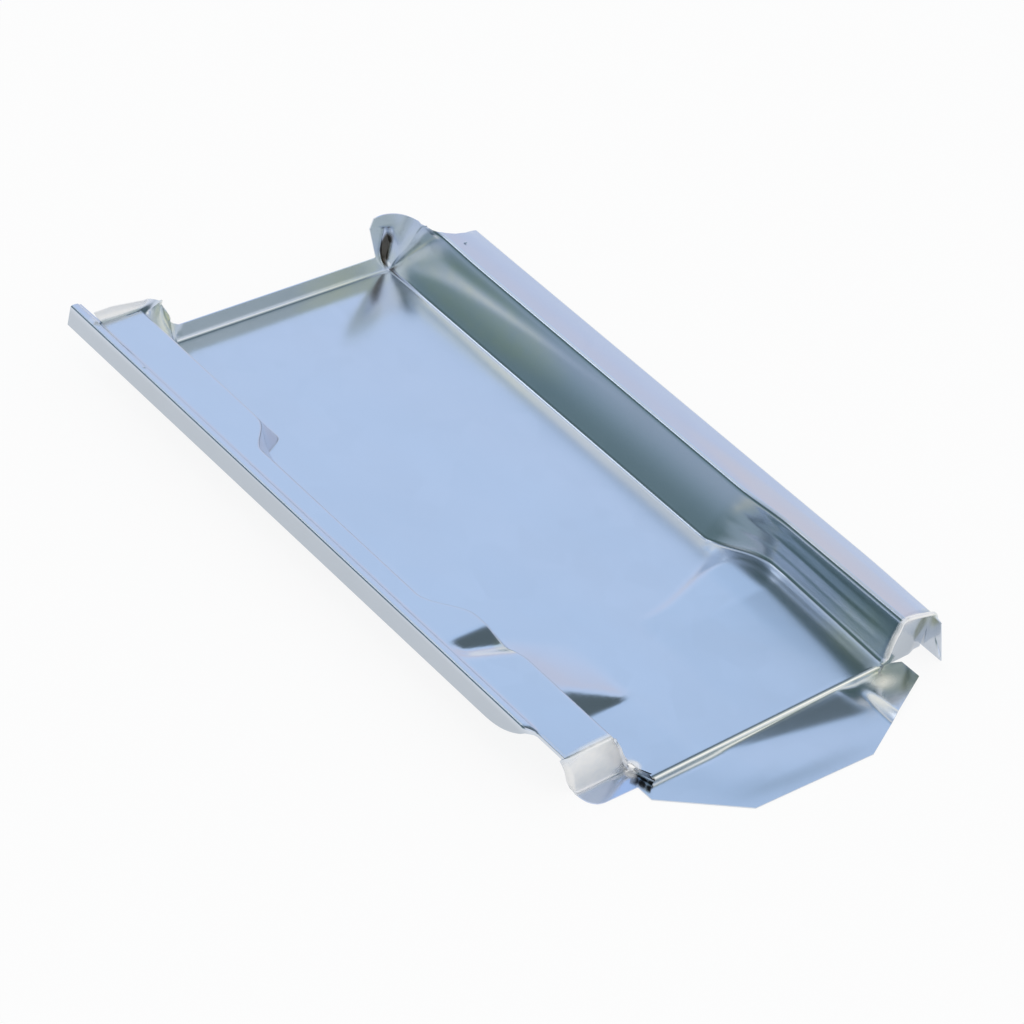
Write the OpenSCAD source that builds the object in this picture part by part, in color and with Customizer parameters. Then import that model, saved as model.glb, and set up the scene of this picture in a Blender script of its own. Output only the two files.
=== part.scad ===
// Pressed galvanised steel sheet that replaces one interlocking roof tile.
// X runs across the tile, +X towards the cover rib. Y runs up the slope, +Y towards the head.
// Inside the modules the pan's upper face is Z = 0, the nose of its foot is Y = 0 and the foot
// of the side lock's inner wall is X = 0. The finished sheet is moved so that it stands on Z = 0
// with the middle of its box over the origin.

/* [Sheet] */
// Thickness of the steel
sheet_t = 0.75; // [0.6:0.05:1]
// Radius of the pressed bends
bend_r = 2.4; // [1.8:0.1:3]

/* [Pan] */
// Length of the pan, from the nose of its foot to its head bend
pan_l = 420; // [380:5:460]
// Width of the pan at its head, between the feet of its two walls
pan_w = 170; // [150:5:200]
// Height of the turned-up head edge
head_h = 13; // [8:0.5:16]

/* [Side lock] */
// Height of the raised strip above the pan
strip_h = 28; // [24:0.5:32]
// Run of the strip's inner wall
strip_run = 25; // [20:0.5:28]
// Width of the strip's top at its head
strip_w = 30.5; // [26:0.5:38]
// How far the middle stretch of the strip is set back
notch_w = 16.5; // [10:0.5:18]
// Length of the full-width head stretch
head_stretch = 105; // [90:1:120]
// Length of the slope that ends the head stretch
notch_l = 23; // [16:1:30]
// Length of the full-width foot stretch
foot_stretch = 126; // [118:1:140]
// Length of the curve that starts the foot stretch
foot_blend = 30; // [24:1:40]
// How much wider the strip's top gets at its foot
foot_gain = 3.5; // [0:0.5:6]
// Depth of the dip across the strip and height of the fold beside it in the pan
fold_h = 2; // [1:0.1:2.6]
// Height of the outer flange
flange_h = 14; // [8:0.5:16]
// Width of the bead between flange and strip
bead_w = 6; // [5:0.5:8]
// Height of the bead above the strip
bead_rise = 1.6; // [1:0.2:2.6]
// How far the flange runs past the head bend
flange_over = 27; // [18:1:30]
// Place of the flange's lower end, measured from the nose
flange_foot = 44; // [40:1:48]

/* [Cover rib] */
// Height of the rib's inner crest above the pan
rib_h = 32; // [27:0.5:36]
// Run of the rib's inner wall at its head
rib_run = 20; // [16:0.5:26]
// Width of the rib's top
rib_w = 35.5; // [30:0.5:40]
// Fall of the rib's top towards its outer edge
rib_fall = 8.5; // [4:0.5:10]
// Run of the rib's outer wall
rib_out = 2.5; // [1:0.5:8]
// How far the head edge of the rib is cut back
rib_back = 20; // [10:1:24]
// How far the foot of the rib's inner wall steps out in the foot stretch
pan_gain = 18; // [12:0.5:20]
// Length of the foot stretch of the pan
gain_l = 92; // [86:1:100]
// How far the outer wall's lower corner leans past the nose
rib_lean = 12; // [4:1:16]

/* [Foot] */
// Height of the folded nose, from the pan down to the apron
nose_h = 5; // [4:0.5:7]
// Depth of the fold under the pan
fold_d = 14; // [10:0.5:15]
// How far the apron reaches past the nose
apron_l = 46; // [34:1:56]
// Length of the apron's front edge
apron_front = 91; // [70:1:110]
// Setback of the strip's closed end from the nose
box_back = 16.5; // [16:0.5:20]
// How far the outer corner of the strip's closed end leans towards the pan
box_lean = 15; // [10:0.5:20]

/* [Hidden] */

arc_n = 3;
half_t = sheet_t / 2;
strip_x = -strip_run - strip_w;
flange_x = strip_x - bead_w;
flange_low = strip_h + bead_rise - flange_h;
apron_z = -nose_h;
rib_x = pan_w + rib_run;
rib_edge_x = rib_x + rib_w;
rib_side_x = rib_edge_x + rib_out;
rib_edge_z = rib_h - rib_fall;
foot_w = pan_w + pan_gain;
head_tip_y = pan_l + flange_over;
strip_head_y = pan_l + 5;
apron_left_x = -5;
apron_side_x = foot_w + 18;
notch_y = pan_l - head_stretch;
mid_x = (flange_x + rib_side_x) / 2;
mid_y = (head_tip_y - apron_l) / 2;
floor_z = apron_z - sheet_t;

function mix(a, b, t) = a + (b - a) * t;
// Straight and smooth steps from 0 at a to 1 at b
function ramp(v, a, b) = min(1, max(0, (v - a) / (b - a)));
function ease(v, a, b) = let (t = ramp(v, a, b)) t * t * (3 - 2 * t);

// The strip's set-back, 1 in its middle stretch, which starts earlier and ends earlier at the
// foot of its wall, and its gain in width, 1 at its foot
function set_back(y, early = 0) = ramp(-y, -notch_y - early, notch_l - notch_y - 2 * early)
    * ease(y, foot_stretch, foot_stretch + foot_blend);
function set_out(y) = 1 - 0.55 * ease(y, foot_stretch, foot_stretch + foot_blend) - 0.45 * ease(y, 86, 94);

// Shallow folds pressed beside the inner wall and the rib: a dip in the strip, a ridge and a
// rise in the pan. Each line runs from its first to its second place across the sheet.
dip_head = 116;
dip_floor = [110, 102];
dip_foot = [100, 93];
ridge_line = [74, 54];
ridge_x = [4, 46];
ridge_l = [20, 6];
rise_line = [98, 106];
rise_x = [90, foot_w - 14];
rise_foot = 10;
function along(line, f) = mix(line[0], line[1], f);
function strip_dip(x, y) =
    let (f = ramp(x, strip_x, -strip_run + foot_gain), low = along(dip_floor, f))
    -fold_h * f * min(ramp(-y, -dip_head, -low), ramp(y, along(dip_foot, f), low - 1));
function pan_ridge(x, y) =
    let (f = ramp(x, ridge_x[0], ridge_x[1]), line = along(ridge_line, f), from = line - along(ridge_l, f))
    0.75 * fold_h * (1 - f) * min(ramp(-y, -line - 1, -line + 4), ramp(y, from, line - 5));
function pan_rise(x, y) =
    let (f = ramp(x, rise_x[0], rise_x[1]), line = along(rise_line, f))
    0.6 * fold_h * f * min(ease(-y, -line, -line + 9), ramp(y, rise_foot, line - 10));
function pan_z(x, y) = pan_ridge(x, y) + pan_rise(x, y);

// Outer edge of the strip: bead and flange above flange_foot, a small turned-down lip below it
function past(y) = ramp(y, flange_foot - 4, flange_foot + 1);
function edge_x(y) = mix(strip_x - 1, flange_x, past(y));
function edge_low(y) = mix(strip_h - 2.4, mix(flange_low, strip_h - 2,
    pow(ramp(-y, -flange_foot - 30, -flange_foot), 2.4)), past(y));
function bead_r(y) = mix(0.8, bead_w / 2, past(y));

// Foot of the rib's inner wall and its crest
function step_out(y) = 1 - ease(y, gain_l, gain_l + 42);
function wall_foot(y) = pan_w + pan_gain * step_out(y);
function crest_x(y) = rib_x + 2.5 * step_out(y);
function crest_z(y) = rib_h + 1.5 * ease(y, pan_l - 60, pan_l);
function side_x(y) = rib_edge_x - 2 * (1 - ease(y, -5, 60));

// Arc of arc_n + 1 points that rounds corner b of the path a, b, c
function corner(a, b, c, r) =
    let (u = (a - b) / norm(a - b), v = (c - b) / norm(c - b),
         half = acos(max(-1, min(1, u * v))) / 2,
         w = (u + v) / norm(u + v),
         o = b + w * r / sin(half),
         cut = r / tan(half),
         p = b + u * cut, q = b + v * cut)
    [for (i = [0:arc_n]) let (m = mix(p, q, i / arc_n) - o) o + m / norm(m) * r];

// Cross-section of the upper face at y, from the flange's lower edge to the rib's outer edge
pan_stops = [0.03, 0.08, 0.14, 0.21, 0.3, 0.45, 0.6, 0.75, 0.88];
function section(y) =
    let (br = bead_r(y), ex = edge_x(y), top = strip_h + bead_rise * past(y),
         sx = -strip_run - notch_w * set_back(y) + foot_gain * set_out(y),
         fx = -notch_w * set_back(y, 6) - set_out(y),
         wf = wall_foot(y), cx = crest_x(y),
         edge = [sx, strip_h + strip_dip(sx, y)],
         foot = [fx, pan_z(fx, y)], wall = [wf, pan_z(wf, y)],
         crest = [cx, crest_z(y)], side = [side_x(y), rib_edge_z], hem = [rib_side_x, apron_z])
    concat(
        [[ex, edge_low(y)], [ex, mix(edge_low(y), top - br, 0.8)]],
        [for (a = [180:-45:0]) [ex + br + br * cos(a), top - br + br * sin(a)]],
        [for (f = [0.06, 0.35, 0.7]) let (x = mix(ex + 2 * br, sx, f)) [x, strip_h + strip_dip(x, y)]],
        corner([strip_x, strip_h], edge, foot, bend_r),
        corner(edge, foot, [pan_w / 2, 0], bend_r),
        [for (f = pan_stops) let (x = mix(0, pan_w, f)) [x, pan_z(x, y)]],
        corner([pan_w / 2, 0], wall, crest, bend_r),
        [mix(wall, crest, 0.5)],
        corner(wall, crest, side, 2 * bend_r),
        [mix(crest, side, 0.5) + [0, 0.6]],
        corner(crest, side, hem, 3 * bend_r),
        [mix(side, hem, 0.6), hem]
    );

cols = len(section(notch_y));
edge_col = 10;
pan_col = edge_col + 8;
wall_col = pan_col + len(pan_stops);
rib_col = wall_col + 5;
side_col = rib_col + 5;

// Where each column of the sheet starts at the foot and ends at the head
function foot_y(j) =
    j < edge_col + 4 ? box_back :
    j < pan_col ? mix(box_back, 0, (j - edge_col - 3) / 5) :
    j < side_col + 2 ? 0 : mix(0, -rib_lean, (j - side_col - 1) / (cols - side_col - 2));
function head_y(j) =
    j < 7 ? head_tip_y :
    j < edge_col + 1 ? strip_head_y :
    j < pan_col ? mix(strip_head_y, pan_l, (j - edge_col) / 8) :
    j < wall_col + 2 ? pan_l :
    j < rib_col + 5 ? mix(pan_l, pan_l - rib_back, (j - wall_col - 1) / (rib_col + 3 - wall_col)) :
    pan_l - rib_back + 3;

foot_rows = [0, 0.04, 0.12, 0.25, 0.4, 0.58, 0.74, 0.88, 1];
mid_rows = [48, 52, 56, 62, 68, 73, 78, 84, 89, 94, 98, 102, 106, 110, 116, 121, 126, 131, 136, 141, 146,
            151, 157, 180, 215, 250, 285, 292, 297, 303, 309, 315, 330];
head_rows = [0, 0.25, 0.5, 0.75, 0.9, 1];
function row_y(j) = concat(
    [for (f = foot_rows) mix(foot_y(j), flange_foot, f)],
    mid_rows,
    [for (f = head_rows) mix(notch_y + 40, head_y(j), f)]
);
rows = len(foot_rows) + len(mid_rows) + len(head_rows);

// Upper and lower faces of the sheet as rings of points, row by row
function upper(j, y) = let (p = section(y)[j]) [p.x, y, p.y];
function lower(j, y) =
    let (s = section(y), a = s[max(0, j - 1)], b = s[min(cols - 1, j + 1)],
         d = (b - a) / norm(b - a), p = s[j] + sheet_t * [d.y, -d.x])
    [p.x, y, p.y];

module pressed_shell() {
    ys = [for (j = [0:cols - 1]) row_y(j)];
    top = [for (i = [0:rows - 1]) for (j = [0:cols - 1]) upper(j, ys[j][i])];
    under = [for (i = [0:rows - 1]) for (j = [0:cols - 1]) lower(j, ys[j][i])];
    n = rows * cols;
    faces = concat(
        [for (i = [0:rows - 2]) for (j = [0:cols - 2]) let (a = i * cols + j)
            each [[a, a + cols, a + 1], [a + 1, a + cols, a + cols + 1]]],
        [for (i = [0:rows - 2]) for (j = [0:cols - 2]) let (a = n + i * cols + j)
            each [[a, a + 1, a + cols], [a + 1, a + cols + 1, a + cols]]],
        [for (j = [0:cols - 2]) each [[j, j + 1, n + j], [j + 1, n + j + 1, n + j]]],
        [for (j = [0:cols - 2]) let (a = (rows - 1) * cols + j)
            each [[a, n + a, a + 1], [a + 1, n + a, n + a + 1]]],
        [for (i = [0:rows - 2]) let (a = i * cols)
            each [[a, n + a, a + cols], [a + cols, n + a, n + a + cols]]],
        [for (i = [0:rows - 2]) let (a = i * cols + cols - 1)
            each [[a, a + cols, n + a], [a + cols, n + a + cols, n + a]]]
    );
    polyhedron(points = concat(top, under), faces = faces, convexity = 10);
}

// A flat or slightly warped piece of sheet between its corner points
module web(corners) {
    hull() for (c = corners) translate(c) sphere(d = sheet_t, $fn = 8);
}

// Turned-up edge along the head of strip, inner wall and pan
module head_edge() {
    y = strip_head_y;
    outer = [strip_x, y, strip_h - half_t];
    inner = [-strip_run, y, strip_h - half_t];
    wall = [0, pan_l, -half_t];
    end = [pan_w - 13, pan_l, -half_t];
    lip_out = [strip_x - 2, y + 8, strip_h + 3];
    lip_mid = [mix(strip_x, -strip_run, 0.4), y + 7, strip_h + 4.6];
    lip_in = [-strip_run + 3, y + 4, strip_h + 4.3];
    peak = [-strip_run + 14.5, y + 2, strip_h + 3.8];
    pleat = [-7, pan_l + 1, 21];
    low = [2, pan_l, head_h + 1.5];
    web([outer, inner, lip_in, lip_mid, lip_out]);
    web([inner, lip_in, peak]);
    web([inner, wall, pleat, peak]);
    web([wall, pleat, low]);
    web([wall, end, end + [0, 0, head_h], low]);
}

// Ear that closes the head corner beside the rib, with the pleat folded in front of it
module head_ear() {
    foot = [pan_w - 0.5, pan_l, -half_t];
    crease = [pan_w - 3, pan_l, 20.5];
    fork = [pan_w - 9.5, pan_l, 35];
    tip_low = [pan_w - 26, pan_l, 38.3];
    tip_top = [pan_w - 24, pan_l, 45.6];
    top = [pan_w - 15, pan_l, 46.3];
    arch = [[pan_w - 8.5, pan_l, 44.9], [pan_w + 1, pan_l, 41.4], [pan_w + 10.5, pan_l - 1, 36.5]];
    rise = [rib_x - 5, pan_l - 7, rib_h + 1.5];
    crest = [rib_x - 2, pan_l - 11, rib_h - 0.5];
    end = [pan_w - 13, pan_l, -half_t];
    web([foot, crease, fork, top, arch[0], arch[1], arch[2]]);
    web([fork, tip_low, tip_top, top]);
    web([foot, arch[2], rise, crest, [rib_x - 7, pan_l - 9, rib_h - 10]]);
    web([end, foot, crease, fork, [pan_w - 12, pan_l, 20.7], end + [0, 0, head_h + 3.5]]);
    web([end + [0, 0, head_h + 3.5], tip_low, fork - [2, 1.5, 0], [pan_w - 12, pan_l - 1.5, 20.7]]);
}

// Nose of the pan's foot: the sheet turns under, runs back and meets the apron below
module foot_fold() {
    left = 3.5;
    right = foot_w - 2;
    r = nose_h / 2;
    nose = [for (a = [90:22.5:270]) [r * cos(a), r * sin(a) - r]];
    inner = [for (a = [270:-22.5:90]) [(r - sheet_t) * cos(a), (r - sheet_t) * sin(a) - r]];
    profile = concat([[1, 0]], nose, [[fold_d, -nose_h], [fold_d, sheet_t - nose_h]], inner, [[1, -sheet_t]]);
    translate([left, r, 0]) rotate([90, 0, 90]) linear_extrude(right - left) polygon(profile);
}

// Apron under the fold, with the flap under the strip's closed end
module apron() {
    left_x = apron_left_x;
    right_x = apron_side_x;
    front_x = 42;
    flap_x = strip_x + box_lean + 2.5;
    outline = [
        [left_x, 3.5], [left_x + 0.5, -8], [front_x, -apron_l + 4], [front_x + apron_front, -apron_l],
        [right_x - 0.5, -apron_l + 31.5], [right_x, -1], [foot_w, 4], [foot_w - 4, fold_d],
        [left_x, fold_d + 1], [left_x, box_back + 1], [flap_x, box_back + 1], [flap_x - 1, 14],
        [flap_x + 0.5, 9], [flap_x + 4, 5], [flap_x + 9, 3.6]
    ];
    translate([0, 0, floor_z]) linear_extrude(sheet_t) polygon(outline);
}

// Closed end of the strip over the flap, with its rounded outer corner
module strip_end() {
    z = apron_z - half_t;
    top = strip_h - half_t;
    corner_top = [strip_x + 2, box_back, top];
    corner_low = [strip_x + box_lean + 2, box_back, z];
    web([corner_top, [-strip_run + foot_gain, box_back, top], [-1, box_back, z], corner_low]);
    web([corner_top, corner_low, corner_low + [-2, 0.5, 2], [strip_x + 7.5, box_back + 0.5, 11],
         [strip_x + 3.5, box_back + 0.5, 18], [strip_x, box_back + 0.5, top - 4],
         [strip_x - 0.5, box_back + 8, top - 2]]);
}

// Tab that stands up from the apron and closes the open end of the rib
module rib_tab() {
    z = apron_z - half_t;
    y = half_t;
    low = [foot_w + 5, y, z];
    web([low, [apron_side_x, y, z], [rib_edge_x - 0.5, y, z], [rib_edge_x - 0.5, y, rib_edge_z - 5],
         [rib_edge_x - 6, y, rib_edge_z - 1], [rib_x + 5, y, rib_h - 3.5], [rib_x + 2, y, rib_h - 8],
         [foot_w + 1, y, 1]]);
    web([[foot_w + 1, y, 1], low, [foot_w + 5, y - 2.5, z], [foot_w - 3, y - 0.5, z]]);
}

module roofing_sheet() {
    color([0.70, 0.76, 0.84]) translate([-mid_x, -mid_y, -floor_z]) {
        pressed_shell();
        head_edge();
        head_ear();
        foot_fold();
        apron();
        strip_end();
        rib_tab();
    }
}

roofing_sheet();
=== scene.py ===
import math

import bmesh
import bpy
import numpy as np
from mathutils import Matrix, Vector


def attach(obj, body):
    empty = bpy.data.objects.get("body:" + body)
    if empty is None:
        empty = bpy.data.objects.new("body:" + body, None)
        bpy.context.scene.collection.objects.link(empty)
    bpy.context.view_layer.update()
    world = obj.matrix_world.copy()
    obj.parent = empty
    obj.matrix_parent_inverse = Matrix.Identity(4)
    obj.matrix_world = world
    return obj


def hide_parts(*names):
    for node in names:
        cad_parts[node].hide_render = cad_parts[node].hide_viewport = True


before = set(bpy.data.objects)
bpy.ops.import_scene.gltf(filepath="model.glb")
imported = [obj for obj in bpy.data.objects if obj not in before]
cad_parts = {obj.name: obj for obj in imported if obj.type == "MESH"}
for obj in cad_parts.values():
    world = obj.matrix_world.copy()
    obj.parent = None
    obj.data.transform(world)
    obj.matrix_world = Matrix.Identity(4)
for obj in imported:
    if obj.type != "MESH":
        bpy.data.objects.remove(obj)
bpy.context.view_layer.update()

# Lengths are in millimetres until a mesh is made. X runs across the tile towards the cover rib,
# Y up the slope towards the head, and the pan's upper face is Z = 0 at the nose of the foot.
steel = {"thickness": 0.75, "bend": 2.4, "wideBend": 4.2, "headBend": 2.6, "sharpAngle": 38}
pan = {"length": 420, "width": 170, "headHeight": 13, "gain": 18, "gainLength": 92}
sideLock = {"height": 28, "run": 25, "width": 30.5, "notch": 16.5, "headStretch": 105, "slope": 23,
            "footStretch": 126, "blend": 30, "gain": 3.5, "gainEnd": (86, 94), "flange": 14, "bead": 6,
            "beadRise": 1.6, "flangeOver": 27, "flangeFoot": 44}
coverRib = {"height": 32, "run": 20, "width": 35.5, "fall": 8.5, "out": 2.5, "lean": 12,
            "headRadius": 22, "crestRadius": 3.2, "sideRadius": 5.0, "wallSag": 0.8, "crown": 0.7,
            "streak": 0.15, "fineStreak": 0.035, "swell": 0.9}
foot = {"nose": 5, "fold": 14, "apron": 46, "apronFront": 91, "boxBack": 16.5}

stripX = -sideLock["run"] - sideLock["width"]
flangeX = stripX - sideLock["bead"]
ribX = pan["width"] + coverRib["run"]
ribEdgeX = ribX + coverRib["width"]
ribSideX = ribEdgeX + coverRib["out"]
ribEdgeZ = coverRib["height"] - coverRib["fall"]
headTipY = pan["length"] + sideLock["flangeOver"]
notchY = pan["length"] - sideLock["headStretch"]
apronZ = -foot["nose"]
middle = np.array([(flangeX + ribSideX) / 2, (headTipY - foot["apron"]) / 2, apronZ - steel["thickness"]])


def mix(a, b, t):
    return a + (b - a) * t


def ramp(v, a, b):
    return np.clip((v - a) / (b - a), 0, 1)


def ease(v, a, b):
    t = ramp(v, a, b)
    return t * t * (3 - 2 * t)


def facet(v, a, b, rounding=0.4):  # a flat slope with a little rounding at both ends
    return mix(ramp(v, a, b), ease(v, a, b), rounding)


def falling(shape, v, a, b, *more):  # from 1 at a to 0 at b
    return shape(-v, -b, -a, *more)


def bell(v, centre, width):
    return np.exp(-(((v - centre) / width) ** 2))


def track(v, *stops):  # straight runs between (place, value) stops
    at, value = zip(*stops)
    return np.interp(v, at, value)


def setBack(y, early=0):  # 1 where the strip's inner wall stands back from the pan
    s = sideLock
    top = notchY + early
    start = top - (s["slope"] - 2 * early)
    return falling(ease, y, start, top) * ease(y, s["footStretch"], s["footStretch"] + s["blend"])


def setOut(y):  # 1 at the foot, where the strip is widest
    s = sideLock
    return 1 - 0.55 * ease(y, s["footStretch"], s["footStretch"] + s["blend"]) - 0.45 * ease(y, *s["gainEnd"])


# Each pair runs from the strip's outer side to its inner one.
dip = {"head": 117, "floor": (111.5, 102), "foot": (103.5, 91), "depth": (1.3, 3.4), "fadeIn": 9}


def stripDip(x, y):
    f = ramp(x, stripX, -sideLock["run"] + sideLock["gain"])
    floor = mix(*dip["floor"], f)
    deep = mix(*dip["depth"], f) * ease(x, stripX, stripX + dip["fadeIn"])
    fall = falling(facet, y, floor, dip["head"], 0.15)
    back = facet(y, mix(*dip["foot"], f), floor - 0.6, 0.5)
    return -deep * np.minimum(fall, back)


ridge = {"crest": 74.5, "slant": 0.62, "foot": 54.2, "steepness": 0.19, "headSide": 46,
         "lineHeight": 0.26, "lineWidth": 1.1, "lineUp": 2.8, "lineDown": 0.6,
         "fade": (26, 40)}


def panRidge(x, y):
    crest = ridge["crest"] - ridge["slant"] * (x - 4)
    height = ridge["steepness"] * np.maximum(crest - ridge["foot"], 0)
    rise = falling(facet, y, crest + 1.2, crest + ridge["headSide"], 0.3)
    fall = facet(y, ridge["foot"] - 0.8, crest - 4, 0.12)
    upper = bell(y, crest + ridge["lineUp"], ridge["lineWidth"])
    lower = bell(y, crest - ridge["lineDown"], ridge["lineWidth"])
    lines = ridge["lineHeight"] * (upper + lower) * ramp(x, 2, 6)
    return falling(ramp, x, *ridge["fade"]) * (height * np.minimum(rise, fall) + lines)


# The pan climbs between the lower and the upper line, which fan out towards the rib.
jogRise = {"upper": [(90, 98.5), (108, 101), (120, 104.5), (157, 116), (167.5, 122.5), (172, 134)],
           "lower": [(90, 96.5), (108, 98.2), (120, 101), (148, 108.2), (162, 108.6), (183, 103.5),
                     (190, 100)],
           "height": [(84, 0), (96, 0.4), (112, 0.9), (150, 1.8), (166, 3.1), (182, 3.4)]}


def panRise(x, y):
    upper, lower, height = (track(x, *jogRise[k]) for k in ("upper", "lower", "height"))
    return height * falling(facet, y, lower, upper, 0.25) * ramp(y, 4, 80)


# The pan's gentle buckles, which fade out towards its edges
buckle = {"broad": 0.10, "fine": 0.06, "sideFade": (6, 30), "endFade": (8, 40)}


def panHeight(x, y):
    side, end = buckle["sideFade"], buckle["endFade"]
    broad = buckle["broad"] * np.sin(x / 31 + 0.6) * np.sin(y / 67 + 1.1)
    fine = buckle["fine"] * np.sin(x / 14 + y / 39)
    inside = ramp(x, *side) * ramp(pan["width"] - x, *side) * ramp(y, *end) * ramp(pan["length"] - y, *end)
    return panRidge(x, y) + panRise(x, y) + (broad + fine) * inside


def pastFlangeFoot(y):  # 0 below the flange's rounded foot, 1 above it
    return ease(y, sideLock["flangeFoot"] - 5, sideLock["flangeFoot"] + 2)


def stepOut(y):  # 1 where the pan is wide, below the jog in the rib's wall
    return 1 - ease(y, pan["gainLength"], pan["gainLength"] + 42)


def unit(v):
    return v / np.maximum(np.linalg.norm(v, axis=-1, keepdims=True), 1e-9)


def bendPoint(a, b, c, radius, part):  # on the rounded corner at b, part of the way from a to c
    u, v = unit(a - b), unit(c - b)
    half = np.arccos(np.clip((u * v).sum(-1, keepdims=True), -1, 1)) / 2
    o = b + unit(u + v) * radius / np.sin(half)
    cut = radius / np.tan(half)
    m = mix(b + u * cut, b + v * cut, part) - o
    return o + unit(m) * radius


def plane(x, z):  # one (x, z) pair for each row
    x, z = np.broadcast_arrays(x, z)
    return np.stack([x, z], -1).astype(float)


def sectionCorners(y):
    s, r = sideLock, coverRib
    past, step = pastFlangeFoot(y), stepOut(y)
    k = {}
    k["edgeX"] = mix(stripX - 0.6, flangeX, past)
    k["top"] = s["height"] + s["beadRise"] * past
    rounded = falling(ramp, y, s["flangeFoot"], s["flangeFoot"] + 30) ** 2.4
    flangeLow = mix(s["height"] + s["beadRise"] - s["flange"], s["height"] - 2, rounded)
    k["low"] = mix(s["height"] - 2.2, flangeLow, past)
    k["bead"] = mix(0.9, s["bead"] / 2, past)
    edgeX = -s["run"] - s["notch"] * setBack(y) + s["gain"] * setOut(y)
    footX = -s["notch"] * setBack(y, 6) - setOut(y)
    wallX = pan["width"] + pan["gain"] * step
    k["edge"] = plane(edgeX, s["height"] + stripDip(edgeX, y))
    k["foot"] = plane(footX, panHeight(footX, y))
    k["wall"] = plane(wallX, panHeight(wallX, y))
    k["crest"] = plane(ribX + 2.5 * step, r["height"] + 1.5 * ease(y, pan["length"] - 60, pan["length"]))
    k["side"] = plane(ribEdgeX - 2 * (1 - ease(y, -5, 60)), ribEdgeZ + 0 * y)
    k["hem"] = plane(ribSideX + 0 * y, apronZ + 0 * y)
    k["stripStart"] = plane(stripX + 0 * y, s["height"] + 0 * y)
    k["panMiddle"] = plane(pan["width"] / 2 + 0 * y, 0 * y)
    return k


# The stretches of the cross-section from the side lock's flange to the rib's outer side
columnKinds = [("flange", 4), ("bead", 14), ("beadFoot", 6), ("strip", 12), ("edgeBend", 8), ("innerWall", 7),
               ("footBend", 8), ("pan", 42), ("wallBend", 9), ("wall", 24), ("crestBend", 8),
               ("ribTop", 13), ("sideBend", 10), ("outerWall", 7)]
columns = [(kind, i / n) for kind, n in columnKinds for i in range(n)] + [("outerWall", 1.0)]
columnCount = len(columns)
firstColumn = {}
for j, (kind, t) in enumerate(columns):
    firstColumn.setdefault(kind, j)


# Lines drawn along the rib's wall from the jog to the foot, sinking towards the pan on the way
drawnLines = {"sink": 0.22, "sinkY": (88, 138), "bands": 2.6, "fineBands": 6.1, "finePhase": 0.35,
              "wander": 0.10, "wanderLength": 19, "fadeIn": (2, 30), "fadeOut": (112, 134)}


def streaks(t, y):
    d = drawnLines
    flow = t + d["sink"] * falling(ease, y, *d["sinkY"])
    band = np.sin(2 * math.pi * (flow * d["bands"] + d["wander"] * np.sin(y / d["wanderLength"])))
    fine = np.sin(2 * math.pi * (flow * d["fineBands"] + d["finePhase"]))
    here = ramp(y, *d["fadeIn"]) * falling(ease, y, *d["fadeOut"]) * np.sin(math.pi * np.clip(t, 0, 1)) ** 0.8
    return here * (coverRib["streak"] * band + coverRib["fineStreak"] * fine)


# Broad bulge of the rib's wall at the head: its edge reaches further down the slope near the crest
bulge = {"start": 416, "drop": (30, 136, 3.2), "slope": (30, 435, 2.2), "wallWidth": 37, "soft": (-8, 6),
         "full": 0.3, "fade": 0.66}


def headSwell(t, y):
    steady, more, power = bulge["drop"]
    line = bulge["start"] - steady * t - more * t ** power
    steady, more, power = bulge["slope"]
    lean = (steady + more * t ** power) / bulge["wallWidth"]
    across = (y - line) / np.sqrt(1 + lean ** 2)
    height = coverRib["swell"] * ease(across, *bulge["soft"])
    return height * ramp(t, 0, bulge["full"]) * (1 - ease(t, bulge["fade"], 1.0))


# Each corner's neighbours and its radius
bends = {"edge": ("stripStart", "foot", steel["bend"]), "foot": ("edge", "panMiddle", steel["bend"]),
         "wall": ("panMiddle", "crest", steel["wideBend"]),
         "crest": ("wall", "side", coverRib["crestRadius"]), "side": ("crest", "hem", coverRib["sideRadius"])}
bendColumns = {"edgeBend": "edge", "footBend": "foot", "wallBend": "wall", "crestBend": "crest",
               "sideBend": "side"}


def bendAt(k, corner, part):
    before, after, radius = bends[corner]
    return bendPoint(k[before], k[corner], k[after], radius, part)


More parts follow.
